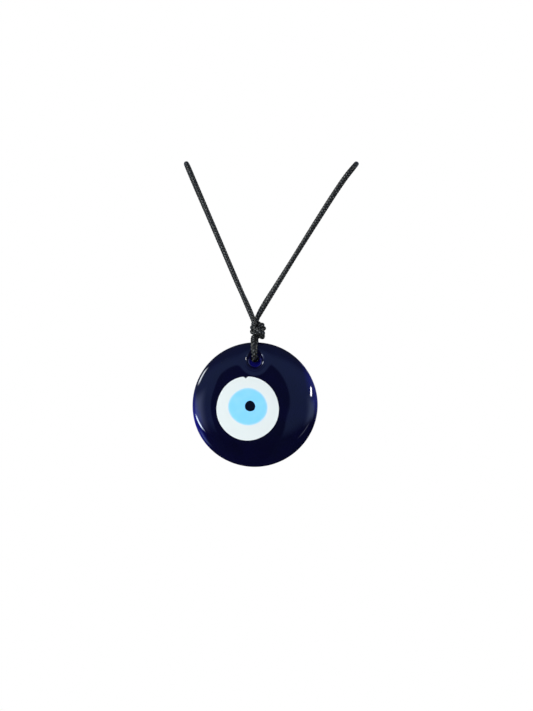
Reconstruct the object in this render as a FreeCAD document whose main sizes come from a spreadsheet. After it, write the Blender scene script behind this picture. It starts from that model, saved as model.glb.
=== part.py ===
import FreeCAD, Part
import Sketcher
import math
import os

# Evil eye pendant: a domed cobalt glass disc with three fused glass dabs, hung by a knotted cord.
# Millimetres, +Z up, +X to the right, the eye looks towards -Y.
# The origin is halfway between the two places where the cord rests over a neck or a display edge.

doc = FreeCAD.newDocument("evil_eye")
V = FreeCAD.Vector

# Driving dimensions: alias, value, what it is
DIMENSIONS = [
    ("pendant_across", 6.1, "distance of the disc's centre to the left of the origin"),
    ("pendant_down", 89.75, "distance of the disc's centre below the origin"),
    ("pendant_depth", 7.0, "distance of the disc's middle plane in front of the origin"),
    ("disc_diameter", 49.8, "glass disc across"),
    ("front_rise", 3.9, "top of the dome above the disc's middle plane"),
    ("back_rise", 2.3, "flat back behind the disc's middle plane"),
    ("rim_radius", 2.1, "rounding of the rim"),
    ("dome_radius", 181.0, "curvature of the front over the eye"),
    ("dome_reach", 13.0, "radius at which the front starts to fall faster"),
    ("hole_diameter", 5.1, "cord hole"),
    ("hole_rise", 17.66, "cord hole above the disc's centre"),
    ("front_flare", 1.9, "rounding of the hole at the front"),
    ("back_flare", 1.3, "rounding of the hole at the back"),
    ("white_diameter", 25.7, "white dab across"),
    ("white_left", 2.89, "white dab left of the disc's centre"),
    ("white_below", 1.47, "white dab below the disc's centre"),
    ("white_depth", 1.9, "white dab below the top of the dome"),
    ("blue_diameter", 15.3, "light blue dab across"),
    ("blue_left", 2.85, "light blue dab left of the disc's centre"),
    ("blue_below", 0.79, "light blue dab below the disc's centre"),
    ("blue_depth", 1.2, "light blue dab below the top of the dome"),
    ("pupil_diameter", 4.2, "pupil across"),
    ("pupil_left", 1.97, "pupil left of the disc's centre"),
    ("pupil_below", 0.53, "pupil below the disc's centre"),
    ("pupil_depth", 0.7, "pupil below the top of the dome"),
    ("dab_draft", 1.0, "how much narrower a dab is at its bottom, on the radius"),
    ("cord_diameter", 2.0, "braided cord"),
    ("knot_width", 6.4, "overhand knot in the doubled cord, across"),
    ("knot_depth", 5.8, "overhand knot, front to back"),
    ("wrap_proud", 0.45, "how far a knot's wraps stand out of its core"),
    ("knot_height", 6.2, "overhand knot, top to bottom"),
    ("bail_clearance", 0.2, "gap between the bail's root and the main knot"),
    ("coil_inner", 9.05, "inside radius of the put-away coil"),
    ("coil_outer", 13.2, "outside radius of the put-away coil"),
    ("coil_front", 0.55, "front face of the coil behind the origin"),
    ("coil_back", 7.15, "back face of the coil behind the origin"),
    ("coil_down", 83.2, "centre of the coil below the origin"),
    ("coil_rounding", 0.9, "rounding of the coil's edges"),
    ("tie_width", 3.0, "storage tie along the coil"),
    ("tie_thickness", 0.9, "storage tie"),
    ("tie_angle", 40.0, "place of the storage tie round the coil, in degrees above +X"),
]

sheet = doc.addObject("Spreadsheet::Sheet", "dims")
for row, (alias, value, meaning) in enumerate(DIMENSIONS, start=1):
    sheet.set("A%d" % row, meaning)
    sheet.set("B%d" % row, str(value))
    sheet.setAlias("B%d" % row, alias)
doc.recompute()


def size(alias):
    return float(sheet.get(alias))


def bind(thing, **formulas):
    """Bind an object's properties to formulas over the sheet's cells."""
    for prop, formula in formulas.items():
        thing.setExpression(prop.replace("__", "."), formula)


def place(thing, x, y, z):
    """Bind an object's position to formulas over the sheet's cells."""
    bind(thing, Placement__Base__x=x, Placement__Base__y=y, Placement__Base__z=z)


def origin_plane(body, role):
    for feature in body.Origin.OriginFeatures:
        if feature.Role == role:
            return feature
    raise RuntimeError("no plane " + role)


# ---------------------------------------------------------------- glass

DISC_X = "-dims.pendant_across"
DISC_Y = "-dims.pendant_depth"
DISC_Z = "-dims.pendant_down"


def disc_profile(body):
    """Half section of the disc in the body's YZ plane: dome, shoulder, rim, flat back."""
    front = size("front_rise")
    back = size("back_rise")
    rim = size("rim_radius")
    dome = size("dome_radius")
    reach = size("dome_reach")
    rim_centre = V(back - rim, size("disc_diameter") / 2 - rim, 0)
    dome_centre = V(dome - front, 0, 0)
    # The shoulder arc is tangent to the dome at reach and holds the rim's circle inside it.
    start = V(dome_centre.x - math.sqrt(dome**2 - reach**2), reach, 0)
    inward = (dome_centre - start).normalize()
    offset = start - rim_centre
    shoulder = (rim**2 - offset.Length**2) / (2 * (offset.dot(inward) + rim))
    shoulder_centre = start + inward * shoulder
    out = rim_centre - shoulder_centre
    rim_angle = math.atan2(out.y, out.x)
    out = start - dome_centre
    dome_angle = math.atan2(out.y, out.x)

    sketch = body.newObject("Sketcher::SketchObject", "disc_section")
    sketch.AttachmentSupport = [(origin_plane(body, "YZ_Plane"), "")]
    sketch.MapMode = "FlatFace"
    normal = V(0, 0, 1)
    rim_circle = Part.Circle(rim_centre, normal, rim)
    shoulder_circle = Part.Circle(shoulder_centre, normal, shoulder)
    dome_circle = Part.Circle(dome_centre, normal, dome)
    axis = sketch.addGeometry(Part.LineSegment(V(-front, 0, 0), V(back, 0, 0)))
    flat = sketch.addGeometry(Part.LineSegment(V(back, 0, 0), V(back, rim_centre.y, 0)))
    rim_arc = sketch.addGeometry(Part.ArcOfCircle(rim_circle, 0, rim_angle))
    shoulder_arc = sketch.addGeometry(Part.ArcOfCircle(shoulder_circle, rim_angle, dome_angle))
    dome_arc = sketch.addGeometry(Part.ArcOfCircle(dome_circle, dome_angle, math.pi))
    joined = [
        ("Coincident", axis, 2, flat, 1),
        ("Tangent", flat, 2, rim_arc, 1),
        ("Tangent", rim_arc, 2, shoulder_arc, 1),
        ("Tangent", shoulder_arc, 2, dome_arc, 1),
        ("Coincident", dome_arc, 2, axis, 1),
        ("PointOnObject", axis, 1, -1),
        ("PointOnObject", axis, 2, -1),
        ("PointOnObject", dome_arc, 3, -1),
        ("Vertical", flat),
    ]
    for kind, *where in joined:
        sketch.addConstraint(Sketcher.Constraint(kind, *where))
    sized = [
        ("front", "DistanceX", (axis, 1, -1, 1), front, "dims.front_rise"),
        ("back", "DistanceX", (-1, 1, axis, 2), back, "dims.back_rise"),
        ("rim", "Radius", (rim_arc,), rim, "dims.rim_radius"),
        ("dome", "Radius", (dome_arc,), dome, "dims.dome_radius"),
        ("reach", "DistanceY", (-1, 1, dome_arc, 1), reach, "dims.dome_reach"),
        ("across", "DistanceY", (-1, 1, rim_arc, 3), rim_centre.y,
         "dims.disc_diameter / 2 - dims.rim_radius"),
    ]
    for name, kind, where, value, formula in sized:
        index = sketch.addConstraint(Sketcher.Constraint(kind, *where, value))
        sketch.renameConstraint(index, name)
        sketch.setExpression("Constraints." + name, formula)
    return sketch


SLACK = 0.1  # tolerance when edges are told apart by where they are
LEAST_CUT = 80.0  # volume, well under what the cord hole takes away


def hole_edges(shape, is_front):
    """The edges round the mouth of the cord hole, at the front or the back of the disc."""
    found = []
    reach = size("hole_diameter") / 2 + SLACK
    for number, edge in enumerate(shape.Edges, start=1):
        box = edge.BoundBox
        off_centre = box.Center.z + size("hole_rise")
        inside = max(box.XLength, box.ZLength) / 2 + abs(off_centre) < 2 * reach
        inside = inside and max(abs(box.XMin), abs(box.XMax)) < reach
        along_wall = box.XLength < SLACK
        if inside and not along_wall and (box.Center.y < 0) == is_front:
            found.append("Edge%d" % number)
    return found


def make_disc_blank():
    """The whole disc of glass, before the dabs are let into it.

    It is made upside down, so that the seam of the turned surface misses the cord hole.
    """
    body = doc.addObject("PartDesign::Body", "disc_blank")
    sketch = disc_profile(body)
    turned = body.newObject("PartDesign::Revolution", "disc_turned")
    turned.Profile = sketch
    turned.ReferenceAxis = (sketch, ["H_Axis"])
    turned.Angle = 360
    doc.recompute()
    solid_volume = turned.Shape.Volume

    hole = body.newObject("Sketcher::SketchObject", "hole_outline")
    hole.AttachmentSupport = [(origin_plane(body, "XZ_Plane"), "")]
    hole.MapMode = "FlatFace"
    circle = Part.Circle(V(0, -size("hole_rise"), 0), V(0, 0, 1), size("hole_diameter") / 2)
    ring = hole.addGeometry(circle)
    hole.addConstraint(Sketcher.Constraint("PointOnObject", ring, 3, -2))
    rise = hole.addConstraint(Sketcher.Constraint("DistanceY", ring, 3, -1, 1, size("hole_rise")))
    hole.renameConstraint(rise, "rise")
    hole.setExpression("Constraints.rise", "dims.hole_rise")
    across = hole.addConstraint(Sketcher.Constraint("Diameter", ring, size("hole_diameter")))
    hole.renameConstraint(across, "across")
    hole.setExpression("Constraints.across", "dims.hole_diameter")
    drilled = body.newObject("PartDesign::Pocket", "cord_hole")
    drilled.Profile = hole
    drilled.Type = "ThroughAll"
    drilled.Midplane = True
    doc.recompute()
    if drilled.Shape.Volume > solid_volume - LEAST_CUT:
        raise RuntimeError("the cord hole did not cut the disc")

    flared = drilled
    for name, is_front, alias in (
        ("front_flare", True, "front_flare"),
        ("back_flare", False, "back_flare"),
    ):
        edges = hole_edges(flared.Shape, is_front)
        if not edges:
            raise RuntimeError("no hole edge for " + name)
        rounded = body.newObject("PartDesign::Fillet", name)
        rounded.Base = (flared, edges)
        bind(rounded, Radius="dims." + alias)
        doc.recompute()
        flared = rounded
    body.Tip = flared
    body.Placement = FreeCAD.Placement(V(0, 0, 0), FreeCAD.Rotation(V(0, 1, 0), 180))
    place(body, DISC_X, DISC_Y, DISC_Z)
    return body


def make_dab(name):
    """A tapered slug of glass as wide as the dab at the surface, ahead of the front of the disc."""
    proud = 1.0
    slug = doc.addObject("Part::Cone", name + "_slug")
    bind(
        slug,
        Radius1="dims.%s_diameter / 2 - dims.dab_draft" % name,
        Radius2="dims.%s_diameter / 2 + dims.dab_draft * %g / dims.%s_depth" % (name, proud, name),
        Height="dims.%s_depth + %g" % (name, proud),
    )
    slug.Placement = FreeCAD.Placement(V(0, 0, 0), FreeCAD.Rotation(V(1, 0, 0), 90))
    place(
        slug,
        "%s - dims.%s_left" % (DISC_X, name),
        "%s - dims.front_rise + dims.%s_depth" % (DISC_Y, name),
        "%s - dims.%s_below" % (DISC_Z, name),
    )
    return slug


def boolean(kind, label, base, tool):
    result = doc.addObject(kind, label)
    result.Base = base
    result.Tool = tool
    return result


def make_glass():
    blank = make_disc_blank()
    white = make_dab("white")
    blue = make_dab("blue")
    pupil = make_dab("pupil")
    glass_body = boolean("Part::Cut", "cobalt_glass_disc", blank, white)
    white_all = boolean("Part::Common", "white_all", blank, white)
    white_ring = boolean("Part::Cut", "white_glass_ring", white_all, blue)
    blue_all = boolean("Part::Common", "blue_all", blank, blue)
    blue_ring = boolean("Part::Cut", "light_blue_glass_iris", blue_all, pupil)
    black = boolean("Part::Common", "black_glass_pupil", blank, pupil)
    return [glass_body, white_ring, blue_ring, black]


# ---------------------------------------------------------------- cord

ARC_SHARE = 0.45  # share of the shorter run that a bend may use
PIVOT = V(-6.1, -7.0, -63.6)  # where the bail comes out of the main knot

# The cord's two sides, from the main knot up over the neck, down behind and into the coil.
LEFT_ROUTE = [
    (-6.1, -8.1, -57.5),
    (-33.5, -7.0, 7.0),
    (-34.0, 7.0, 7.0),
    (-20.5, 6.2, -24.0),
    (-12.9, 5.0, -42.0),
    (-8.6, 3.8, -50.8),
    (-6.5, 3.0, -57.2),
    (-6.1, 2.8, -63.0),
    (-9.2, 2.7, -68.3),
    (-13.6, 1.9, -73.1),
]
RIGHT_ROUTE = [
    (-6.7, -5.8, -57.5),
    (10.6, -7.0, -29.0),
    (28.6, -7.0, -0.2),
    (34.7, -7.0, 6.9),
    (34.5, 7.0, 6.9),
    (28.6, 7.0, -0.6),
    (14.0, 6.0, -23.6),
    (2.3, 4.0, -42.0),
    (-3.9, 2.1, -51.6),
    (-6.2, 0.9, -57.6),
    (-6.1, 0.5, -63.4),
    (-7.8, 0.6, -70.8),
]
# The two ends hang from the coil into the closing knot.
LEFT_DROP = [(-17.3, 6.2, -89.7), (-16.8, 6.5, -95.1)]
RIGHT_DROP = [(-15.0, 6.4, -92.1), (-14.5, 6.5, -95.1)]
LEFT_END = [(-16.8, 6.4, -100.5), (-17.1, 6.2, -103.3), (-17.7, 6.0, -105.9)]
RIGHT_END = [(-14.7, 6.4, -100.5), (-14.3, 6.5, -102.9), (-13.6, 6.7, -105.1)]
CLOSING_KNOT = V(-15.7, 6.5, -97.9)
MAIN_KNOT = V(-4.95, -7.0, -60.15)

# The bail goes round the bridge of glass between the hole and the rim, in one upright plane.
BAIL_SPREAD = 1.1  # half the distance between its two strands at the knot
BAIL_FRONT = 4.2  # its front strand ahead of the disc's middle plane
BAIL_BACK = 4.15  # its back strand behind the disc's middle plane
FRONT_SHOULDER = -66.15
BACK_SHOULDER = -64.8
BAIL_BOTTOM = -70.72
BAIL_ROUTE = [
    (PIVOT.x, PIVOT.y - BAIL_SPREAD, PIVOT.z),
    (PIVOT.x - 0.2, PIVOT.y - BAIL_FRONT, FRONT_SHOULDER),
    (PIVOT.x - 0.2, PIVOT.y - BAIL_FRONT, BAIL_BOTTOM),
    (PIVOT.x - 0.2, PIVOT.y + BAIL_BACK, BAIL_BOTTOM),
    (PIVOT.x - 0.2, PIVOT.y + BAIL_BACK, BACK_SHOULDER),
    (PIVOT.x, PIVOT.y + BAIL_SPREAD, PIVOT.z),
]


def route_path(points):
    """Straight runs joined by tangent arcs, each as large as its two runs allow."""
    points = [V(*p) for p in points]
    edges = []
    radii = []
    at = points[0]
    for before, corner, after in zip(points, points[1:], points[2:]):
        back = before - corner
        ahead = after - corner
        cut = ARC_SHARE * min(back.Length, ahead.Length)
        back.normalize()
        ahead.normalize()
        half_turn = (math.pi - back.getAngle(ahead)) / 2
        radius = cut / math.tan(half_turn)
        radii.append(round(radius, 1))
        arc_start = corner + back * cut
        arc_end = corner + ahead * cut
        to_centre = (back + ahead).normalize()
        arc_middle = corner + to_centre * (radius / math.cos(half_turn) - radius)
        edges.append(Part.LineSegment(at, arc_start).toShape())
        edges.append(Part.Arc(arc_start, arc_middle, arc_end).toShape())
        at = arc_end
    edges.append(Part.LineSegment(at, points[-1]).toShape())
    return Part.Wire(edges), radii


def make_cord(label, points):
    """A plain round tube along a route."""
    path, radii = route_path(points)
    radius = size("cord_diameter") / 2
    start = path.Edges[0]
    direction = start.tangentAt(start.FirstParameter)
    section = Part.Wire(Part.Circle(V(*points[0]), direction, radius).toShape())
    tube = path.makePipeShell([section], True, False)
    expected = math.pi * radius**2 * path.Length
    if abs(tube.Volume / expected - 1) > 0.01:
        raise RuntimeError("%s: volume %.2f, not %.2f" % (label, tube.Volume, expected))
    print(label, "length %.1f mm," % path.Length, "bend radii", radii)
    cord = doc.addObject("Part::Feature", label)
    cord.Shape = tube
    cord.Placement = FreeCAD.Placement()
    return cord


KNOT_WRAPS = [(1.5, 24), (0.1, -18), (-1.3, 10)]  # height above the middle, lean in degrees


def make_knot_lump(label, centre):
    """A tight overhand knot in the doubled cord: a core with three leaning wraps round it."""
    core = doc.addObject("Part::Ellipsoid", label + "_core")
    bind(
        core,
        Radius1="dims.knot_height / 2",
        Radius2="dims.knot_width / 2 - dims.wrap_proud",
        Radius3="dims.knot_depth / 2 - dims.wrap_proud",
    )
    core.Angle1 = -90
    core.Angle2 = 90
    core.Angle3 = 360
    core.Placement = FreeCAD.Placement(centre, FreeCAD.Rotation())
    lump = core
    for number, (lift, lean) in enumerate(KNOT_WRAPS, start=1):
        wrap = doc.addObject("Part::Torus", "%s_wrap_%d" % (label, number))
        bind(
            wrap,
            Radius1="dims.knot_depth / 2 - dims.cord_diameter / 2",
            Radius2="dims.cord_diameter / 2",
        )
        turn = FreeCAD.Rotation(V(0, 1, 0), lean)
        wrap.Placement = FreeCAD.Placement(centre + V(0, 0, lift), turn)
        last = number == len(KNOT_WRAPS)
        lump = boolean("Part::Fuse", label if last else "%s_%d" % (label, number), lump, wrap)
    return lump


def make_pivot_barrel(name, radius, length, sweep):
    """A cylinder, or the upper half of one, on the line about which the bail tilts."""
    barrel = doc.addObject("Part::Cylinder", name)
    barrel.Angle = sweep
    bind(barrel, Radius=radius, Height=length)
    doc.recompute()
    half = barrel.Height.Value / 2
    turn = FreeCAD.Rotation(V(1, 1, 1), 120)  # its axis along X, its half disc upwards
    barrel.Placement = FreeCAD.Placement(PIVOT - V(half, 0, 0), turn)
    return barrel


def make_main_knot_and_bail():
    """The bail's two strands enter the main knot through a rounded root that can tilt in a socket."""
    root = make_pivot_barrel("bail_root", "dims.cord_diameter", "dims.cord_diameter", 180)
    strand = make_cord("bail_strand", BAIL_ROUTE)
    bail = boolean("Part::Fuse", "bail_loop", strand, root)
    lump = make_knot_lump("main_knot_lump", MAIN_KNOT)
    socket = make_pivot_barrel(
        "bail_socket",
        "dims.cord_diameter + dims.bail_clearance",
        "dims.cord_diameter + 2 * dims.bail_clearance",
        360,
    )
    knot = boolean("Part::Cut", "main_knot", lump, socket)
    return [bail, knot]


def make_coil():
    """Outer shape of the put-away turns: a flat ring with rounded edges, lying behind the disc."""
    body = doc.addObject("PartDesign::Body", "cord_coil")
    sketch = body.newObject("Sketcher::SketchObject", "coil_section")
    sketch.AttachmentSupport = [(origin_plane(body, "YZ_Plane"), "")]
    sketch.MapMode = "FlatFace"
    low, high = size("coil_inner"), size("coil_outer")
    front, back = size("coil_front"), size("coil_back")
    corners = [V(front, low, 0), V(back, low, 0), V(back, high, 0), V(front, high, 0)]
    lines = []
    for a, b in zip(corners, corners[1:] + corners[:1]):
        lines.append(sketch.addGeometry(Part.LineSegment(a, b)))
    for first, second in zip(lines, lines[1:] + lines[:1]):
        sketch.addConstraint(Sketcher.Constraint("Coincident", first, 2, second, 1))
    for index, line in enumerate(lines):
        sketch.addConstraint(Sketcher.Constraint("Vertical" if index % 2 else "Horizontal", line))
    sized = [
        ("inner", "DistanceY", (-1, 1, lines[0], 1), low, "dims.coil_inner"),
        ("outer", "DistanceY", (-1, 1, lines[2], 1), high, "dims.coil_outer"),
        ("front", "DistanceX", (-1, 1, lines[0], 1), front, "dims.coil_front"),
        ("back", "DistanceX", (-1, 1, lines[1], 1), back, "dims.coil_back"),
    ]
    for name, kind, where, value, formula in sized:
        index = sketch.addConstraint(Sketcher.Constraint(kind, *where, value))
        sketch.renameConstraint(index, name)
        sketch.setExpression("Constraints." + name, formula)
    turned = body.newObject("PartDesign::Revolution", "coil_turned")
    turned.Profile = sketch
    turned.ReferenceAxis = (sketch, ["H_Axis"])
    turned.Angle = 360
    doc.recompute()
    rounded = body.newObject("PartDesign::Fillet", "coil_rounded")
    edges = ["Edge%d" % n for n, edge in enumerate(turned.Shape.Edges, 1) if edge.Closed]
    rounded.Base = (turned, edges)
    bind(rounded, Radius="dims.coil_rounding")
    body.Tip = rounded
    place(body, DISC_X, "0", "-dims.coil_down")
    return body


def make_tie():
    """A band hooped round the coil at one place, upper right as seen from the front."""
    outer = doc.addObject("Part::Box", "tie_outer")
    inner = doc.addObject("Part::Box", "tie_inner")
    grow = {outer: "dims.tie_thickness", inner: "0"}
    for box, extra in grow.items():
        bind(
            box,
            Length="dims.coil_outer - dims.coil_inner + 2 * (%s)" % extra,
            Width="dims.coil_back - dims.coil_front + 2 * (%s)" % extra,
            Height="dims.tie_width" if box is outer else "dims.tie_width + 2",
        )
        doc.recompute()
        start = size("coil_inner") - (size("tie_thickness") if box is outer else 0)
        front = size("coil_front") - (size("tie_thickness") if box is outer else 0)
        base = V(start, front, -box.Height.Value / 2)
        turn = FreeCAD.Rotation(V(0, 1, 0), -size("tie_angle"))
        centre = V(-size("pendant_across"), 0, -size("coil_down"))
        box.Placement = FreeCAD.Placement(centre + turn.multVec(base), turn)
    return boolean("Part::Cut", "coil_tie", outer, inner)


parts = make_glass()
parts += make_main_knot_and_bail()
parts.append(make_cord("cord_left", LEFT_ROUTE))
parts.append(make_cord("cord_right", RIGHT_ROUTE))
parts.append(make_coil())
parts.append(make_tie())
parts.append(make_cord("cord_left_drop", LEFT_DROP))
parts.append(make_cord("cord_right_drop", RIGHT_DROP))
parts.append(make_knot_lump("closing_knot", CLOSING_KNOT))
parts.append(make_cord("cord_left_end", LEFT_END))
parts.append(make_cord("cord_right_end", RIGHT_END))
doc.recompute()

for thing in doc.Objects:
    if {"Invalid", "Error"} & set(thing.State):
        raise RuntimeError("%s failed: %s" % (thing.Label, thing.State))
os.makedirs("parts", exist_ok=True)
for part in parts:
    shape = part.Shape
    if shape.isNull() or not shape.isValid() or not shape.Solids:
        raise RuntimeError(part.Label + " has no valid solid")
    box = shape.BoundBox
    low = (round(box.XMin, 2), round(box.YMin, 2), round(box.ZMin, 2))
    high = (round(box.XMax, 2), round(box.YMax, 2), round(box.ZMax, 2))
    print(part.Label, len(shape.Solids), "solid, %.1f mm3," % shape.Volume, low, high)
    shape.exportStep("parts/%s.step" % part.Label)
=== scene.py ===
import math

import bpy
import numpy as np
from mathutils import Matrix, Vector


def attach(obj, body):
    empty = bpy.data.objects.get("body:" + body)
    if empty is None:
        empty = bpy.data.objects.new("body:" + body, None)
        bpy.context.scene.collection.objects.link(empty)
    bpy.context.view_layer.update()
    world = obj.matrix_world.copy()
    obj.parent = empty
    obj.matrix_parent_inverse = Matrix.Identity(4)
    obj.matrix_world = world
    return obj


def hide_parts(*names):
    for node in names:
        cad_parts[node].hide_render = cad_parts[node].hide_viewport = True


# Looks of the evil eye pendant: a glass disc with an eye of three dabs, on a knotted braided cord.
# The pendant faces -Y and hangs down -Z. Lengths are millimetres in the row frame, except for the
# cord's routes, the camera and the light, which are in metres. The meshes are written in metres.

MM = 0.001
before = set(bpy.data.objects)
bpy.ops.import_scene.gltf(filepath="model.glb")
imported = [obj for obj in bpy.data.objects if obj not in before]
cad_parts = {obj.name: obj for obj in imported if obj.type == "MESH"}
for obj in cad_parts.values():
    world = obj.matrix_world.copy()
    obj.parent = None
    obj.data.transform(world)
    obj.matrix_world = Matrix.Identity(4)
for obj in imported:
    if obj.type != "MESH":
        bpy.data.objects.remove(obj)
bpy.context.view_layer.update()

# ---------------------------------------------------------------- the cord's routes, in metres

LEFT_ROUTE = [
    (-0.0061, -0.0081, -0.0575),
    (-0.0293, -0.0071, -0.0030),
    (-0.0335, -0.0070, 0.0070),
    (-0.0340, 0.0070, 0.0070),
    (-0.0205, 0.0062, -0.0240),
    (-0.0129, 0.0050, -0.0420),
    (-0.0086, 0.0038, -0.0508),
    (-0.0062, 0.0030, -0.0572),
    (-0.0057, 0.0028, -0.0638),
    (-0.0080, 0.0027, -0.0697),
    (-0.0136, 0.0019, -0.0734),
]
RIGHT_ROUTE = [
    (-0.0067, -0.0058, -0.0575),
    (0.0106, -0.0070, -0.0290),
    (0.0286, -0.0070, -0.0002),
    (0.0347, -0.0070, 0.0069),
    (0.0345, 0.0070, 0.0069),
    (0.0286, 0.0070, -0.0006),
    (0.0140, 0.0060, -0.0236),
    (0.0023, 0.0040, -0.0420),
    (-0.0039, 0.0021, -0.0516),
    (-0.0062, 0.0009, -0.0576),
    (-0.0057, 0.0005, -0.0645),
    (-0.0049, 0.0006, -0.0722),
]
LEFT_DROP = [(-0.0179, 0.0061, -0.0863), (-0.0173, 0.0062, -0.0897)]
RIGHT_DROP = [(-0.0157, 0.0062, -0.0858), (-0.0151, 0.0065, -0.0898)]
LEFT_END = [(-0.0168, 0.0064, -0.1027), (-0.0171, 0.0062, -0.1043), (-0.0177, 0.0060, -0.1059)]
RIGHT_END = [(-0.0147, 0.0064, -0.1025), (-0.0143, 0.0065, -0.1037), (-0.0136, 0.0067, -0.1051)]
BAIL_ROUTE = [
    (-0.0064, -0.0080, -0.0627),
    (-0.00645, -0.0086, -0.0638),
    (-0.0064, -0.0112, -0.0657),
    (-0.0062, -0.0112, -0.07072),
    (-0.0061, -0.00285, -0.07072),
    (-0.0062, -0.00285, -0.0648),
    (-0.0063, -0.0054, -0.0637),
    (-0.0063, -0.0059, -0.0627),
]

# ---------------------------------------------------------------- places and sizes

DISC = np.array([-6.1, -6.8, -89.75])  # centre of the glass disc, on its widest line
HOLE = np.array([-6.1, -72.09])  # x and z of the cord hole's front edge
CORD_RADIUS = 1.02
KNOT_RADIUS = 0.95  # the cord, pulled thin in the main knot
BAIL_RADIUS = 0.99

COIL_AT = (-6.1, -83.2)  # x and z of the coil's middle
OUTER_TURNS, INNER_TURNS = 12.15, 10.1  # radii of the left and the right cord's turns
COIL_START, COIL_END = 130, 915  # degrees round the coil, a little over two turns
COIL_FRONT, COIL_BACK = 1.6, 6.1  # y of the first and the last turn
TURN_POINTS = 16


# ---------------------------------------------------------------- curves

def spaced(path, count):
    """The path again, as that many points at equal distances."""
    along = np.concatenate([[0], np.cumsum(np.linalg.norm(np.diff(path, axis=0), axis=1))])
    at = np.linspace(0, along[-1], count)
    return np.stack([np.interp(at, along, path[:, k]) for k in range(3)], axis=1)


def path_length(path):
    return float(np.linalg.norm(np.diff(path, axis=0), axis=1).sum())


def spline_line(points, resolution=12):
    """Points along a smooth NURBS spline, in millimetres, from its control points in metres."""
    data = bpy.data.curves.new("route", "CURVE")
    data.dimensions = "3D"
    spline = data.splines.new("NURBS")
    spline.points.add(len(points) - 1)
    for point, place in zip(spline.points, points):
        point.co = (*place, 1)
    spline.order_u = 3
    spline.use_endpoint_u = True
    spline.resolution_u = resolution
    data.resolution_u = resolution
    holder = bpy.data.objects.new("route", data)
    mesh = bpy.data.meshes.new_from_object(holder)
    line = np.array([v.co for v in mesh.vertices], float) / MM
    bpy.data.meshes.remove(mesh)
    bpy.data.objects.remove(holder)
    bpy.data.curves.remove(data)
    return line


def coil_turns(radius):
    """Points of one cord's put-away turns, wound towards the back, in metres."""
    count = int(math.ceil((COIL_END - COIL_START) / 360 * TURN_POINTS)) + 1
    points = []
    for k in range(count):
        share = k / (count - 1)
        angle = math.radians(COIL_START + (COIL_END - COIL_START) * share)
        wander = 0.12 * math.sin(3 * angle + 0.9)
        x = COIL_AT[0] + (radius + wander) * math.cos(angle)
        z = COIL_AT[1] + (radius + wander) * math.sin(angle)
        points.append((x * MM, (COIL_FRONT + (COIL_BACK - COIL_FRONT) * share) * MM, z * MM))
    return points


# ---------------------------------------------------------------- overhand knots

# Shape of a loose overhand knot, in cord widths: down the middle, out at the bottom, once round
# the front and the back, over itself at the top and down through the middle again.
LOOSE_KNOT = [
    (-0.45, 0, 9), (-0.45, 0, 5), (-0.5, 0.1, 2.4), (-0.5, 0.1, 0), (-0.6, 0, -1.6),
    (-1.6, -0.2, -2.2), (-2.0, -0.9, -1.2), (-0.8, -1.8, -0.6), (0.8, -1.8, -0.2),
    (2.0, -0.4, 0.3), (1.2, 1.6, 0.7), (-0.8, 1.7, 1.0), (-2.0, 0.5, 1.5), (-1.6, -1.0, 2.1),
    (-0.4, -1.5, 2.4), (0.5, -0.8, 1.6), (0.5, 0, 0), (0.45, 0, -2.4), (0.3, 0, -5), (0, 0, -9),
]
LOOSE_ACROSS, LOOSE_TALL = 1.6, 1.36  # millimetres to one of those widths, across and along
STRAND_POINTS = 100
SHORTEN_STEPS = 800


def through(points, count):
    """A smooth line through the points (Catmull-Rom), as count points."""
    p = np.array(points, float)
    p = np.vstack([2 * p[0] - p[1], p, 2 * p[-1] - p[-2]])
    t = np.linspace(0, 1, 20, endpoint=False)[:, None]
    parts = []
    for a, b, c, d in zip(p, p[1:], p[2:], p[3:]):
        parts.append(0.5 * (2 * b + (c - a) * t + (2 * a - 5 * b + 4 * c - d) * t**2
                            + (3 * b - a - 3 * c + d) * t**3))
    parts.append(p[-2][None])
    return spaced(np.vstack(parts), count)


def keep_apart(pos, gap, skip, fixed):
    """Push points of the two strands apart where they are closer than gap."""
    count = len(pos) // 2
    index = np.arange(2 * count)
    strand, place = index // count, index % count
    neighbours = (strand[:, None] == strand[None, :]) & (
        np.abs(place[:, None] - place[None, :]) < skip)
    for _ in range(3):
        square = (pos**2).sum(1)
        distance2 = square[:, None] + square[None, :] - 2 * pos @ pos.T
        i, j = np.nonzero(np.triu((distance2 < gap * gap) & ~neighbours, 1))
        if len(i) == 0:
            return
        away = pos[i] - pos[j]
        distance = np.maximum(np.linalg.norm(away, axis=1), 1e-6)
        push = away * ((gap - distance) / distance / 2)[:, None]
        move = np.zeros_like(pos)
        touches = np.zeros(len(pos))
        np.add.at(move, i, push)
        np.add.at(move, j, -push)
        np.add.at(touches, i, 1)
        np.add.at(touches, j, 1)
        move /= np.maximum(touches, 1)[:, None] ** 0.7
        move[fixed] = 0
        pos += move


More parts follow.
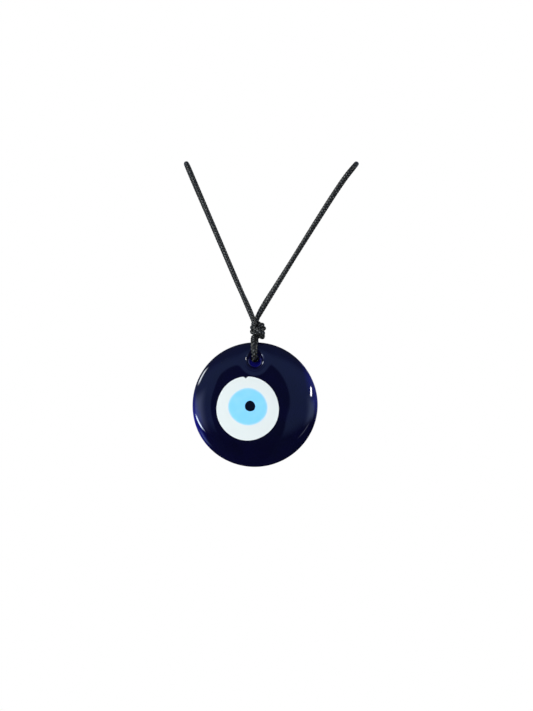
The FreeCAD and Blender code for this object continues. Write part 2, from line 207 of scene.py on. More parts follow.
def tie_overhand(tops, bottoms, centre, turn, mirror, gap, squeeze):
    """Pull a loose overhand knot in two parallel strands tight between its four fixed ends.

    Each step shortens both strands and keeps them gap apart, so the strands bed against each
    other as in a real knot. turn is the knot's angle about the cord, mirror is its hand, and
    squeeze its size along each axis. Returns the two strands' lines, left one first.
    """
    count, steps = STRAND_POINTS, SHORTEN_STEPS
    shape = np.array(LOOSE_KNOT, float) * (LOOSE_ACROSS * mirror, LOOSE_ACROSS, LOOSE_TALL)
    c, s = math.cos(math.radians(turn)), math.sin(math.radians(turn))
    shape = np.stack([shape[:, 0] * c - shape[:, 1] * s,
                      shape[:, 0] * s + shape[:, 1] * c, shape[:, 2]], axis=1)
    middle = through(shape, count)
    along = np.gradient(middle, axis=0)
    along /= np.linalg.norm(along, axis=1)[:, None]
    side = np.zeros_like(along)
    last = np.array([1.0, 0, 0])
    for k, direction in enumerate(along):
        last = last - direction * (last @ direction)
        last /= np.linalg.norm(last)
        side[k] = last
    centre = np.array(centre, float)
    pos = np.vstack([middle - 0.9 * side, middle + 0.9 * side]) + centre
    fixed = np.array([0, count - 1, count, 2 * count - 1])
    loose_ends = pos[fixed].copy()
    tight_ends = np.array([tops[0], bottoms[0], tops[1], bottoms[1]], float)
    skip = 6
    for step in range(steps):
        share = min(1.0, step / (0.3 * steps))
        pos[fixed] = loose_ends * (1 - share) + tight_ends * share
        for k in range(2):
            strand = pos[k * count:(k + 1) * count]
            strand[1:-1] += 0.5 * (0.5 * (strand[:-2] + strand[2:]) - strand[1:-1])
            if step % 20 == 0:
                strand[:] = spaced(strand, count)
        if step % 20 == 0:
            shorter = min(path_length(pos[:count]), path_length(pos[count:]))
            skip = int(math.ceil(1.4 * gap / (shorter / (count - 1))))
        keep_apart(pos, gap, skip, fixed)
    pos = settle(pos, tight_ends, centre, squeeze)
    return [spaced(pos[:count], 160), spaced(pos[count:], 160)]


def settle(pos, ends, centre, squeeze):
    """Move the knot to its place along the cords, and squeeze it, but leave its ends in place."""
    half_height, half_width = 4, 1.6
    highest, lowest = ends[:, 2].max(), ends[:, 2].min()
    inner = (pos[:, 2] < centre[2] + half_height) & (pos[:, 2] > centre[2] - half_height)
    wide = inner & (np.hypot(pos[:, 0] - centre[0], pos[:, 1] - centre[1]) > half_width)
    middle = (pos[wide].max(axis=0) + pos[wide].min(axis=0)) / 2
    reach = np.minimum((highest - pos[:, 2]) / (highest - centre[2] - 3),
                       (pos[:, 2] - lowest) / (centre[2] - 3 - lowest))
    weight = np.clip(reach, 0, 1)
    weight = (weight * weight * (3 - 2 * weight))[:, None]
    target = centre + (pos - middle) * np.array(squeeze)
    return pos * (1 - weight) + target * weight


# ---------------------------------------------------------------- braided tubes

def frames_along(line, first):
    """Unit tangents and two unit normals that turn as little as possible along the line."""
    tangent = np.gradient(line, axis=0)
    tangent /= np.linalg.norm(tangent, axis=1)[:, None]
    across = np.zeros_like(tangent)
    last = np.array(first, float)
    for k, direction in enumerate(tangent):
        last = last - direction * (last @ direction)
        last /= np.linalg.norm(last)
        across[k] = last
    return tangent, across, np.cross(tangent, across)


CARRIERS = 6  # strands of the braid in each direction
BRAID_PITCH = 1.25  # millimetres along the cord from strand to strand
CAP_RINGS = 5  # rings of a tube's rounded end


def braid_relief(angle, along):
    """Height of a two-over-two-under round braid, from 0 in its grooves to 1 on its strands."""
    turn = CARRIERS * angle / (2 * math.pi)
    a, b = turn + along / BRAID_PITCH, turn - along / BRAID_PITCH
    a_strand, b_strand = np.floor(a), np.floor(b)
    a_over = 0.5 + 0.5 * np.cos(math.pi / 2 * (b + a_strand - 1))
    b_over = 0.5 + 0.5 * np.cos(math.pi / 2 * (a + b_strand - 3))
    a_height = np.sqrt(np.sin(math.pi * (a - a_strand)).clip(0)) * (0.4 + 0.6 * a_over)
    b_height = np.sqrt(np.sin(math.pi * (b - b_strand)).clip(0)) * (0.4 + 0.6 * b_over)
    return np.maximum(a_height, b_height)


def thread_relief(angle, along):
    """Height of a twisted thread's two plies."""
    return np.abs(np.cos(angle - along * 2.6)) ** 0.6


def tube(line, radius, relief=braid_relief, depth=0.14, around=32, step=0.14, first=(0, 1, 0),
         wide=None, phase=0.0):
    """Points, faces and relief of a tube along the line, its ends rounded.

    radius is its outer radius. wide gives, per share of the length, how much wider and thinner
    the section is than round, as a pair of factors along the two normals.
    """
    length = path_length(line)
    count = max(8, int(length / step))
    line = spaced(line, count)
    tangent, across, up = frames_along(line, first)
    at = np.linspace(0, length, count)
    end = np.sin(np.linspace(0, math.pi / 2, CAP_RINGS + 1))[:-1]
    cap_size = np.concatenate([end, np.ones(count), end[::-1]])
    cap_out = np.sqrt(1 - cap_size**2) * radius * 0.9
    cap_out[:CAP_RINGS] *= -1
    index = np.concatenate([np.zeros(CAP_RINGS, int), np.arange(count),
                            np.full(CAP_RINGS, count - 1)])
    angle = np.linspace(0, 2 * math.pi, around, endpoint=False)[None, :]
    height = relief(angle, at[index][:, None] + cap_out[:, None] + phase)
    size = (radius - depth * (1 - height)) * np.maximum(cap_size, 0.02)[:, None]
    factor_a = np.ones(len(index))
    factor_b = np.ones(len(index))
    if wide is not None:
        factor_a, factor_b = wide(at[index] / length)
    centre = line[index] + tangent[index] * cap_out[:, None]
    points = (centre[:, None, :]
              + across[index][:, None, :] * (np.cos(angle) * size * factor_a[:, None])[..., None]
              + up[index][:, None, :] * (np.sin(angle) * size * factor_b[:, None])[..., None])
    rings = len(index)
    k = np.arange(rings - 1)[:, None] * around
    j = np.arange(around)[None, :]
    after = (j + 1) % around
    quads = np.stack([k + j, k + after, k + around + after, k + around + j], axis=-1)
    faces = quads.reshape(-1, 4).tolist()
    faces.append(list(range(around))[::-1])
    faces.append(list(range((rings - 1) * around, rings * around)))
    return points.reshape(-1, 3), faces, height.reshape(-1)


def joined(parts):
    """Several meshes as one."""
    points, faces, values = [], [], []
    offset = 0
    for part_points, part_faces, part_values in parts:
        points.append(part_points)
        faces.extend([[offset + v for v in face] for face in part_faces])
        values.append(part_values)
        offset += len(part_points)
    return np.vstack(points), faces, np.concatenate(values)


def make_piece(name, made, material, body, nodes, attribute="relief"):
    """A mesh object from points in millimetres, riding on its body in place of its CAD nodes."""
    points, faces, values, *normals = made
    mesh = bpy.data.meshes.new(name)
    mesh.from_pydata((points * MM).tolist(), [], faces)
    layer = mesh.attributes.new(attribute, "FLOAT", "POINT")
    layer.data.foreach_set("value", np.asarray(values, np.float32))
    mesh.polygons.foreach_set("use_smooth", [True] * len(mesh.polygons))
    mesh.materials.append(material)
    mesh.update()
    if normals:
        mesh.normals_split_custom_set_from_vertices(normals[0].tolist())
    piece = bpy.data.objects.new(name, mesh)
    bpy.context.scene.collection.objects.link(piece)
    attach(piece, body)
    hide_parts(*nodes)
    return piece


# ---------------------------------------------------------------- materials

class Tree:
    """A node tree, with short calls to add and join nodes."""

    def __init__(self, tree):
        self.tree = tree

    def add(self, kind, inputs=None, **settings):
        node = self.tree.nodes.new(kind)
        for key, value in settings.items():
            setattr(node, key, value)
        for key, value in (inputs or {}).items():
            self.put(node.inputs[key], value)
        return node

    def put(self, socket, value):
        if isinstance(value, bpy.types.NodeSocket):
            self.tree.links.new(value, socket)
        else:
            socket.default_value = value

    def math(self, operation, a, b=0.0):
        return self.add("ShaderNodeMath", {0: a, 1: b}, operation=operation).outputs[0]

    def ramp(self, value, *stops, interpolation="LINEAR"):
        node = self.add("ShaderNodeValToRGB", {"Fac": value})
        node.color_ramp.interpolation = interpolation
        elements = node.color_ramp.elements
        while len(elements) < len(stops):
            elements.new(0.5)
        for element, (position, colour) in zip(elements, stops):
            element.position = position
            element.color = (*colour, 1)
        return node.outputs["Color"]

    def mix(self, share, a, b, kind="MIX"):
        node = self.add("ShaderNodeMix", {0: share}, data_type="RGBA", blend_type=kind)
        self.put(node.inputs[6], a if isinstance(a, bpy.types.NodeSocket) else (*a, 1))
        self.put(node.inputs[7], b if isinstance(b, bpy.types.NodeSocket) else (*b, 1))
        return node.outputs[2]


class Material(Tree):
    """A new material's node tree."""

    def __init__(self, name):
        self.material = bpy.data.materials.new(name)
        self.material.use_nodes = True
        super().__init__(self.material.node_tree)
        self.shader = self.tree.nodes["Principled BSDF"]

    def set(self, **inputs):
        for key, value in inputs.items():
            self.put(self.shader.inputs[key.replace("_", " ")], value)

    def attribute(self, name):
        return self.add("ShaderNodeAttribute", attribute_name=name).outputs["Fac"]

    def noise(self, scale, detail=2.0):
        place = self.add("ShaderNodeTexCoord").outputs["Object"]
        node = self.add("ShaderNodeTexNoise", {"Vector": place, "Scale": scale, "Detail": detail})
        return node.outputs["Fac"]

    def bump(self, height, distance, strength=1.0):
        node = self.add("ShaderNodeBump", {"Height": height, "Distance": distance,
                                           "Strength": strength})
        return node.outputs["Normal"]


def grey(value):
    return (value, value, value)


def waxed_cord():
    """Black braid, painted darker in its grooves as painted shade, with grey flecks on the crowns
    of its strands as painted highlights.
    """
    n = Material("waxed_cord")
    relief = n.attribute("relief")
    # Painted shade: the braid is darker in its grooves than on its strands.
    body = n.ramp(relief, (0.35, (0.0006, 0.0006, 0.0005)), (0.95, (0.0140, 0.0140, 0.0120)))
    # Painted highlights: grey flecks on the crowns of the strands, where the noise is high.
    crown_highlight = n.ramp(relief, (0.84, grey(0)), (1.0, grey(1)))
    highlight_flecks = n.ramp(n.noise(800.0, 3.0), (0.42, grey(0.05)), (0.62, grey(1)))
    colour = n.mix(n.math("MULTIPLY", crown_highlight, highlight_flecks), body, (0.24, 0.24, 0.215))
    rough = n.ramp(n.noise(420.0), (0.3, grey(0.30)), (0.7, grey(0.46)))
    fibre = n.bump(n.noise(5200.0, 1.0), 0.00004)
    n.set(Base_Color=colour, Roughness=rough, Normal=fibre, Specular_Tint=(1.0, 0.92, 0.72, 1))
    return n.material


def tie_thread():
    n = Material("tie_thread")
    relief = n.attribute("relief")
    # Painted shade: the thread is darker in the grooves between its plies.
    colour = n.ramp(relief, (0.1, (0.002, 0.002, 0.002)), (1.0, (0.021, 0.020, 0.019)))
    n.set(Base_Color=colour, Roughness=0.5, Normal=n.bump(n.noise(6000.0, 1.0), 0.00003))
    return n.material


def cobalt_glass():
    """Glass that is nearly black where it is thick, with a painted blue glow of light coming
    through where it is thin.
    """
    n = Material("cobalt_glass")
    thin = n.attribute("thin")
    # Painted light: the thin attribute carries a painted glow of light through the glass, and this
    # ramp turns it from near-black to blue.
    glow_colour = n.ramp(thin, (0.0, (0.0020, 0.0021, 0.0100)), (0.26, (0.0021, 0.0020, 0.016)),
                  (0.42, (0.003, 0.0034, 0.075)), (0.75, (0.010, 0.009, 0.17)),
                  (1.0, (0.014, 0.012, 0.27)))
    cloud = n.ramp(n.noise(130.0, 2.0), (0.35, grey(0)), (0.75, grey(0.35)))
    colour = n.mix(cloud, glow_colour, (0.0024, 0.0018, 0.022))
    n.set(Base_Color=colour, Roughness=0.03, IOR=1.52)
    return n.material


def dab_glass(name, middle, edge, start, end, cloudiness, tint):
    """Opaque glass whose colour runs into its neighbour's over the outer part of the dab."""
    n = Material(name)
    share = n.attribute("edge")
    wander = n.math("MULTIPLY", n.math("ADD", n.noise(700.0, 3.0), -0.5), 0.05)
    run = n.ramp(n.math("ADD", share, wander), (start, middle), (end, edge))
    cloud = n.ramp(n.noise(260.0, 4.0), (0.4, grey(0)), (0.75, grey(cloudiness)))
    n.set(Base_Color=n.mix(cloud, run, tint), Roughness=0.06, IOR=1.5)
    n.set(Normal=n.bump(n.noise(160.0, 1.0), 0.00002, 0.4))
    return n.material


# ---------------------------------------------------------------- glass shapes

RIM = 24.95  # mean radius of the disc's outline
HOLE_GLOW = 0.56  # painted glow of light through the hole's wall, as how thin the glass looks there, 0 thick and 1 thin
FRONT, BACK = 4.1, 2.1  # the glass ahead of and behind the rim's widest line
FRONT_POWER, BACK_POWER = 3.6, 11.0
HOLE_RADIUS = 2.55  # at the front; the hole narrows and rises a little towards the back
HOLE_BACK, HOLE_RISE = 1.55, 0.85
FRONT_LIP, BACK_LIP = 1.9, 1.3
DIMPLE_DEPTH, DIMPLE_RADIUS = 0.50, 5.0  # the front sinks a little towards the hole


def outline(angle):
    """The disc's slightly uneven edge, as radius over angle."""
    return (RIM + 0.06 * np.cos(2 * angle) + 0.07 * np.cos(2 * angle - 1.6)
            + 0.05 * np.cos(3 * angle + 1.1) + 0.03 * np.cos(5 * angle + 0.4))


def share_out(x, z):
    """How far out a point is, 0 at the disc's centre and 1 at its edge."""
    x, z = x - DISC[0], z - DISC[2]
    return np.hypot(x, z) / outline(np.arctan2(z, x))


def front_height(x, z):
    """Height of the domed front above the rim's widest line."""
    t = share_out(x, z).clip(0, 1)
    dome = FRONT * np.sqrt(1 - t**FRONT_POWER)
    wave = 0.022 * np.sin(0.21 * x + 1.3) * np.sin(0.19 * z + 0.4)
    wave = wave + 0.010 * np.sin(0.47 * x + 0.33 * z)
    from_hole = np.hypot(x - HOLE[0], z - HOLE[1])
    dimple = DIMPLE_DEPTH * np.exp(-((from_hole / DIMPLE_RADIUS) ** 4))
    return dome + (wave - dimple) * (1 - t**6)


def back_height(x, z):
    t = share_out(x, z).clip(0, 1)
    flat = BACK * np.sqrt(1 - t**BACK_POWER)
    wave = 0.03 * np.sin(0.33 * x + 0.2) * np.sin(0.27 * z + 2.0)
    return flat + wave * (1 - t**6)


def make_glass_body():
    """The disc as closed sections round the cord hole: hole wall, front, rim, back."""
    rays, front_steps, back_steps, lip_steps, wall_steps = 360, 92, 56, 14, 6
    angle = np.linspace(0, 2 * math.pi, rays, endpoint=False)
    ray = np.stack([np.cos(angle), np.sin(angle)], axis=1)
    # Distance from the hole's centre to the edge, found by halving.
    low, high = np.zeros(rays), np.full(rays, 60.0)
    for _ in range(40):
        middle = (low + high) / 2
        out = share_out(HOLE[0] + ray[:, 0] * middle, HOLE[1] + ray[:, 1] * middle) > 1
        high = np.where(out, middle, high)
        low = np.where(out, low, middle)
    reach = low

    def at(distance):
        return HOLE[0] + ray[:, 0] * distance, HOLE[1] + ray[:, 1] * distance

    rows = []

    def row(distance, height, thin, rise=0.0):
        x, z = at(distance)
        y = np.full(rays, DISC[1]) - height
        rows.append((x, y, z + rise, np.broadcast_to(thin, rays)))

    def lip(front, radius, sweep):
        top = front_height if front else back_height
        sign = 1 if front else -1
        narrow = HOLE_RADIUS if front else HOLE_BACK
        rise = 0 if front else HOLE_RISE
        for turn in sweep:
            distance = narrow + (HOLE_RADIUS + radius - narrow) * (1 - math.cos(turn))
            rim_height = top(*at(np.full(rays, HOLE_RADIUS + radius)))
            height = rim_height - radius * (1 - math.sin(turn))
            # Painted glow of light through the glass, full at the hole's wall and fading over the
            # lip.
            thin = HOLE_GLOW - 0.46 * math.sin(turn) ** 0.7
            row(np.full(rays, distance), sign * height, thin, rise * math.cos(turn))

    def face(front, radius, steps):
        top = front_height if front else back_height
        sign = 1 if front else -1
        shares = [0.5 - 0.5 * math.cos(math.pi * k / steps) for k in range(1, steps + 1)]
        for share in shares if front else shares[::-1][1:]:
            distance = (HOLE_RADIUS + radius) * (1 - share) + reach * share
            x, z = at(distance)
            t = share_out(x, z).clip(0, 1)
            thick = FRONT * np.sqrt(1 - t**FRONT_POWER) + BACK * np.sqrt(1 - t**BACK_POWER)
            # Painted light: the glow of light through the thin rim is painted strongest at the
            # right and at the left, and faint at the top and the bottom.
            aim = np.arctan2(z - DISC[2], x - DISC[0])
            rim_glow_side = 0.15 + 0.85 * np.abs(np.cos(aim - 0.26)) ** 8
            thin = (1 - thick / (FRONT + BACK)) * rim_glow_side
            row(distance, sign * (top(x, z) if share < 1 else 0 * x), thin)

    quarter = math.pi / 2
    lip(True, FRONT_LIP, [quarter * k / lip_steps for k in range(lip_steps + 1)])
    face(True, FRONT_LIP, front_steps)
    face(False, BACK_LIP, back_steps)
    lip(False, BACK_LIP, [quarter * (1 - k / lip_steps) for k in range(lip_steps + 1)])
    wall_front = rows[0][1]
    wall_back = rows[-1][1]
    for k in range(1, wall_steps):
        share = k / wall_steps
        x, z = at(np.full(rays, HOLE_BACK * (1 - share) + HOLE_RADIUS * share))
        y = wall_back * (1 - share) + wall_front * share
        # The hole's wall has the painted glow of HOLE_GLOW.
        rows.append((x, y, z + HOLE_RISE * (1 - share), np.full(rays, HOLE_GLOW)))
    loops = len(rows)
    points = np.stack([np.stack(r[:3], axis=1) for r in rows], axis=1)
    thin = np.stack([r[3] for r in rows], axis=1)
    k = np.arange(rays)[:, None]
    j = np.arange(loops)[None, :]
    next_k, next_j = (k + 1) % rays, (j + 1) % loops
    quads = np.stack([k * loops + j, k * loops + next_j, next_k * loops + next_j,
                      next_k * loops + j], axis=-1)
    # Exact normals, so that reflections run smoothly over the grid.
    out = np.roll(points, -1, axis=1) - np.roll(points, 1, axis=1)
    around = np.roll(points, -1, axis=0) - np.roll(points, 1, axis=0)
    normals = np.cross(out, around).reshape(-1, 3)
    normals /= np.linalg.norm(normals, axis=1)[:, None]
    return points.reshape(-1, 3), quads.reshape(-1, 4).tolist(), thin.reshape(-1), normals


def make_dab(centre, half_width, half_height, depth, proud, uneven, notch=None):
    """A slug of glass let into the front, its face a hair proud of the cobalt glass.

    uneven holds (waves round the edge, share of the radius, phase), and notch holds the angle,
    the angular width and the depth, as a share of the radius, of a nick in the edge.
    """
    spokes, steps = 192, 44
    angle = np.linspace(0, 2 * math.pi, spokes, endpoint=False)
    edge = 1 + sum(size * np.cos(k * angle + turn) for k, size, turn in uneven)
    if notch is not None:
        where, width, bite = notch
        off = (angle - where + math.pi) % (2 * math.pi) - math.pi
        edge = edge - bite * np.exp(-((off / width) ** 2))
    x_out, z_out = half_width * edge * np.cos(angle), half_height * edge * np.sin(angle)
    rings, values = [], []
    for k in range(1, steps + 1):
        share = math.sin(math.pi / 2 * k / steps)
        x, z = centre[0] + x_out * share, centre[1] + z_out * share
        lift = proud * (1 - share**10) - 0.02 * share**10
        rings.append(np.stack([x, DISC[1] - front_height(x, z) - lift, z], axis=1))
        values.append(np.full(spokes, share))
    x, z = centre[0] + x_out * 0.93, centre[1] + z_out * 0.93
    rings.append(np.stack([x, DISC[1] - front_height(x, z) + depth, z], axis=1))
    values.append(np.ones(spokes))
    middle = np.array([[centre[0], 0, centre[1]]])
    middle[0, 1] = DISC[1] - front_height(middle[:, 0], middle[:, 2])[0] - proud
    bottom = middle + (0, depth + proud, 0)
    points = np.vstack([middle, *rings, bottom])
    shares = np.concatenate([[0], *values, [1]])
    faces = []
    for j in range(spokes):
        after = (j + 1) % spokes
        faces.append([0, 1 + after, 1 + j])
        for k in range(steps):
            inner, outer = 1 + k * spokes, 1 + (k + 1) * spokes
            faces.append([inner + j, inner + after, outer + after, outer + j])
        last = 1 + steps * spokes
        faces.append([last + j, last + after, len(points) - 1])
    return points, faces, shares


# ---------------------------------------------------------------- the cord's pieces

cord_material = waxed_cord()


def make_main_knot():
    """The knot above the disc. The left cord comes into it in front of the right one."""
    top, bottom = -57.2, -62.7  # where its strands pass into the legs and the bail
    strands = tie_overhand(
        tops=[(-7.9, -7.9, -53.0), (-3.9, -6.1, -53.0)],
        bottoms=[(-6.1, -5.95, -66.5), (-6.1, -8.05, -66.5)],
        centre=(-4.9, -7.0, -60.0),
        turn=30, mirror=-1, gap=1.6, squeeze=(0.89, 0.88, 0.90),
    )
    parts = []
    for strand in strands:
        first = np.argmax(strand[:, 2] < top)
        last = len(strand) - np.argmax(strand[::-1, 2] > bottom)
        parts.append(tube(strand[first:last], KNOT_RADIUS, step=0.1, depth=0.13))
    make_piece("main_knot_braid", joined(parts), cord_material, "root", ["main_knot"])


def bail_section(share):
    """Wide and thin on the front run, where it lies on the glass, and round elsewhere."""
    flat = np.exp(-(((share - 0.13) / 0.17) ** 4))
    return 1 + 0.48 * flat, 1 - 0.14 * flat


def make_bail():
    line = spline_line(BAIL_ROUTE, 24)
    made = tube(line, BAIL_RADIUS, step=0.09, around=40, depth=0.15, first=(1, 0, 0),
                wide=bail_section)
    make_piece("bail_braid", made, cord_material, "bail", ["bail_loop"])


def tie_line():
    """Five turns of thread round the coil's section, which is a rounded square."""
    turns, per_turn, place = 5, 48, math.radians(40)
    pitch = 0.56 / 11.1  # angle round the coil from turn to turn
    middle, half_width = (OUTER_TURNS + INNER_TURNS) / 2, 2.5
    middle_y, half_depth = (COIL_FRONT + COIL_BACK) / 2, 3.65
    points = []
    for k in range(turns * per_turn + 1):
        u = 2 * math.pi * k / per_turn
        c, s = math.cos(u), math.sin(u)
        out = middle + half_width * math.copysign(abs(c) ** 0.55, c)
        y = middle_y + half_depth * math.copysign(abs(s) ** 0.55, s)
        angle = place + (k / per_turn - turns / 2) * pitch
        points.append((COIL_AT[0] + out * math.cos(angle), y, COIL_AT[1] + out * math.sin(angle)))
    return np.array(points)


def make_tie():
    made = tube(tie_line(), 0.3, relief=thread_relief, depth=0.06, around=16, step=0.15)
    return make_piece("storage_tie_thread", made, tie_thread(), "root", ["coil_tie"])


def free_cord(side, route, turns, drop, knot_strand, end, phase):
    """One side of the cord, from the main knot over the neck into the coil and the last knot."""
    name = f"cord_{side}_braid"
    nodes = [f"cord_{side}", "cord_coil", f"cord_{side}_drop", "closing_knot", f"cord_{side}_end"]
    inside = knot_strand[6:-3:5] * MM
    points = [*route, *turns, *drop, *[tuple(p) for p in inside], *end]
    line = spline_line(points)
    made = tube(line, CORD_RADIUS, phase=phase)
    piece = make_piece(name, made, cord_material, "root", nodes)


make_main_knot()
make_bail()
storage_tie = make_tie()
closing_strands = tie_overhand(
    tops=[(-17.1, 6.3, -90.7), (-14.9, 6.4, -90.3)],
    bottoms=[(-16.8, 6.4, -102.7), (-14.7, 6.4, -102.5)],
    centre=(-15.7, 6.5, -97.9),
    turn=210, mirror=1, gap=1.6, squeeze=(0.95, 0.9, 1.0),
)
free_cord("left", LEFT_ROUTE, coil_turns(OUTER_TURNS), LEFT_DROP, closing_strands[0], LEFT_END,
          phase=0.0)
free_cord("right", RIGHT_ROUTE, coil_turns(INNER_TURNS), RIGHT_DROP, closing_strands[1], RIGHT_END,
          phase=0.6)

# ---------------------------------------------------------------- the glass pieces

# The thin attribute holds the painted glow of light through the glass, at the rim and at the
# hole's wall.
make_piece("cobalt_glass_body", make_glass_body(), cobalt_glass(), "pendant",
           ["cobalt_glass_disc"], attribute="thin")


def add_dab(glass, node, shape, look):
    """One of the eye's dabs, in place of its CAD node."""
    make_piece(f"{glass}_dab", make_dab(**shape), dab_glass(glass, **look), "pendant", [node],
               attribute="edge")


WHITE = (0.75, 0.77, 0.665)
LIGHT_BLUE = (0.24, 0.635, 0.86)
BLACK = (0.0025, 0.004, 0.010)
add_dab("white_glass", "white_glass_ring",
        dict(centre=(-9.02, -91.2), half_width=13.0, half_height=13.46, depth=1.9, proud=0.03,
             uneven=[(2, 0.004, 0.3), (3, 0.005, 1.0), (5, 0.003, 2.0)],
             notch=(1.63, 0.045, 0.06)),
        dict(middle=WHITE, edge=(0.45, 0.55, 0.80), start=0.965, end=1.0, cloudiness=0.10,
             tint=(0.73, 0.75, 0.655)))
add_dab("light_blue_glass", "light_blue_glass_iris",
        dict(centre=(-8.9, -90.5), half_width=8.75, half_height=8.45, depth=1.2, proud=0.05,
             uneven=[(2, 0.012, 0.8), (3, 0.010, 2.2), (4, 0.006, 0.5)]),
        dict(middle=LIGHT_BLUE, edge=WHITE, start=0.80, end=0.99, cloudiness=0.35,
             tint=(0.35, 0.70, 0.88)))
add_dab("black_glass", "black_glass_pupil",
        dict(centre=(-8.03, -90.22), half_width=2.42, half_height=2.58, depth=0.7, proud=0.065,
             uneven=[(2, 0.02, 0.4), (3, 0.02, 1.6)]),
        dict(middle=BLACK, edge=(0.10, 0.30, 0.42), start=0.84, end=1.0, cloudiness=0.2,
             tint=(0.004, 0.006, 0.016)))

# ---------------------------------------------------------------- studio

scene = bpy.context.scene
scene.view_settings.view_transform = "Standard"


def make_floor():
    """A pale round floor, well below the hanging pendant."""
    radius, height, spokes = 0.6, -0.30, 96
    points = [(0, 0, height)]
    for k in range(spokes):
        angle = 2 * math.pi * k / spokes
        points.append((radius * math.cos(angle), radius * math.sin(angle), height))
    faces = [(0, 1 + k, 1 + (k + 1) % spokes) for k in range(spokes)]
    mesh = bpy.data.meshes.new("floor")
    mesh.from_pydata(points, [], faces)
    floor = bpy.data.objects.new("floor", mesh)
    scene.collection.objects.link(floor)
    n = Material("floor")
    n.set(Base_Color=(0.85, 0.85, 0.85, 1), Roughness=0.9)
    n.set(Emission_Color=(1, 1, 1, 1), Emission_Strength=0.7)
    mesh.materials.append(n.material)
    floor.visible_glossy = False


# Bright panes of the room that the glass mirrors: a pane's middle and half its width as an angle
# to the right, its low and high edge as the height of a unit direction, how far it leans, how
# soft its edge is, and its light.
WINDOWS = [
    (-1.30, 0.22, 0.28, 0.60, 0.0, 0.60, (14.0, 15.0, 16.0)),  # upper left
    (-1.586, 0.15, -0.36, -0.14, -2.25, 0.60, (19.0, 22.0, 25.0)),  # lower left
    (-0.90, 0.50, -0.35, 0.20, 0.0, 0.70, (0.8, 0.95, 1.6)),  # faint, left
    (-1.25, 0.35, -0.70, -0.36, 0.0, 0.80, (0.7, 1.0, 1.9)),  # faint, below left
    (0.665, 0.075, 0.08, 0.26, 1.29, 0.35, (30.0, 30.0, 30.0)),  # narrow, right
    (0.85, 0.40, -0.30, 0.12, 0.0, 0.80, (0.5, 0.65, 1.1)),  # faint, right
    (1.275, 0.06, -0.41, -0.25, 1.78, 0.80, (1.2, 1.3, 1.8)),  # faint, below right
]


class World(Tree):
    """The world's node tree, with the parts of a direction and shapes made from them."""

    def __init__(self, name):
        self.world = bpy.data.worlds.new(name)
        self.world.use_nodes = True
        super().__init__(self.world.node_tree)
        direction = self.add("ShaderNodeTexCoord").outputs["Generated"]
        split = self.add("ShaderNodeSeparateXYZ", {0: direction})
        self.x, self.y, self.z = (split.outputs[k] for k in "XYZ")
        self.side = self.math("ARCTAN2", self.x, self.math("MULTIPLY", self.y, -1.0))

    def scaled(self, value, middle, half):
        return self.math("DIVIDE", self.math("SUBTRACT", value, middle), half)

    def patch(self, across, up, power):
        """Distance from a patch's middle, 1 at its rounded square edge."""
        total = self.math("ADD", self.math("POWER", self.math("ABSOLUTE", across), power),
                          self.math("POWER", self.math("ABSOLUTE", up), power))
        return self.math("POWER", total, 1.0 / power)

    def ease(self, value, *stops):
        return self.ramp(value, *stops, interpolation="EASE")

    def pane(self, middle, half, low, high, slant, soft):
        """Share of a window's light, 1 in its middle and 0 outside it."""
        lean = self.math("MULTIPLY", self.z, slant)
        across = self.scaled(self.math("SUBTRACT", self.side, lean), middle, half)
        edge = self.patch(across, self.scaled(self.z, (low + high) / 2, (high - low) / 2), 6.0)
        return self.ease(self.math("MULTIPLY", edge, 0.5),
                         (0.5 * (1 - soft), grey(1)), (0.5, grey(0)))


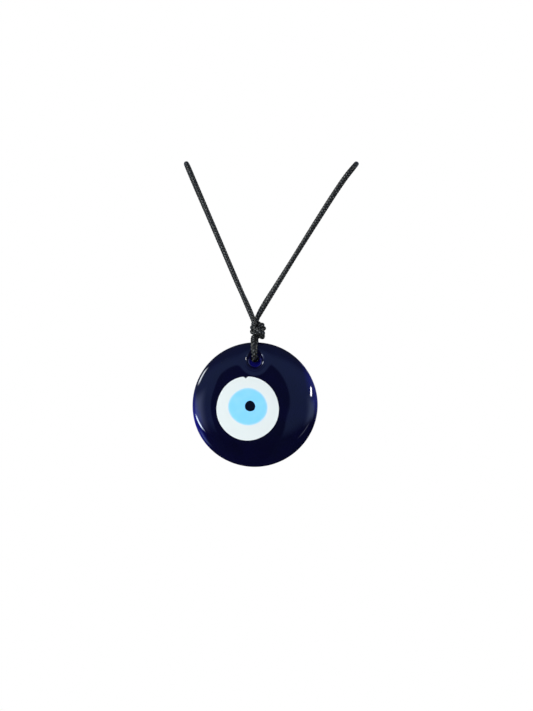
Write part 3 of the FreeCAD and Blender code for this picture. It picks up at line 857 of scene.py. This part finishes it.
def make_world():
    """White behind the object, a soft room around it, darker ahead where the camera stands."""
    w = World("studio")
    scene.world = w.world
    # The dark patch ahead, where the camera and its user stand: wide below, arched at the top.
    above = w.math("MAXIMUM", w.scaled(w.z, -0.10, 0.34), 0.0)
    behind = w.math("MULTIPLY", w.math("GREATER_THAN", w.y, 0.0), 9.0)
    user = w.math("MAXIMUM", w.patch(w.scaled(w.x, -0.07, 0.212), above, 5.0), behind)
    outside = w.ease(w.math("MULTIPLY", user, 0.5), (0.47, grey(0.10)), (0.54, grey(1.0)))
    rise = w.ease(w.scaled(w.z, -1.0, 2.0), (0.36, grey(0.06)), (0.44, grey(0.8)),
                  (0.66, grey(1.0)), (0.80, grey(0.45)))
    room = w.ease(w.math("MULTIPLY", w.y, -1.0),
                  (0.0, (0.20, 0.25, 0.36)), (0.9, (0.16, 0.26, 0.60)))
    light = w.mix(1.0, w.mix(1.0, room, rise, "MULTIPLY"), outside, "MULTIPLY")
    for *place, colour in WINDOWS:
        light = w.mix(1.0, light, w.mix(1.0, w.pane(*place), colour, "MULTIPLY"), "ADD")
    w.put(w.tree.nodes["Background"].inputs["Color"], light)
    plain = w.add("ShaderNodeBackground", {"Color": (1, 1, 1, 1)})
    seen = w.add("ShaderNodeLightPath").outputs["Is Camera Ray"]
    choose = w.add("ShaderNodeMixShader", {0: seen, 2: plain.outputs[0],
                                           1: w.tree.nodes["Background"].outputs[0]})
    w.put(w.tree.nodes["World Output"].inputs["Surface"], choose.outputs[0])


LIT_POINT = (-0.006, -0.007, -0.085)


def around_disc(side, rise, distance):
    """A place at that angle to the side of the disc's axis, and that angle above it."""
    a, e = math.radians(side), math.radians(rise)
    return (LIT_POINT[0] + distance * math.sin(a) * math.cos(e),
            LIT_POINT[1] - distance * math.cos(a) * math.cos(e),
            LIT_POINT[2] + distance * math.sin(e))


def make_light(name, place, width, height, power):
    """A soft box that faces the disc and isn't mirrored in it."""
    data = bpy.data.lights.new(name, "AREA")
    data.shape = "RECTANGLE"
    data.size, data.size_y = width, height
    data.energy = power
    light = bpy.data.objects.new(name, data)
    light.location = place
    light.rotation_mode = "QUATERNION"
    light.rotation_quaternion = (Vector(LIT_POINT) - Vector(place)).to_track_quat("-Z", "Y")
    light.visible_camera = False
    light.visible_glossy = False
    scene.collection.objects.link(light)


def make_camera():
    """Straight ahead of the disc, a metre away."""
    data = bpy.data.cameras.new("camera")
    data.sensor_width = 36
    data.lens = 125.9
    camera = bpy.data.objects.new("camera", data)
    camera.location = (-0.0015, -1.0, -0.0701)
    camera.rotation_euler = (math.pi / 2, 0, 0)
    scene.collection.objects.link(camera)
    scene.camera = camera


make_floor()
make_world()
make_light("front_soft", around_disc(side=-25, rise=35, distance=1.3), width=0.60, height=0.50,
           power=8.6)
make_camera()
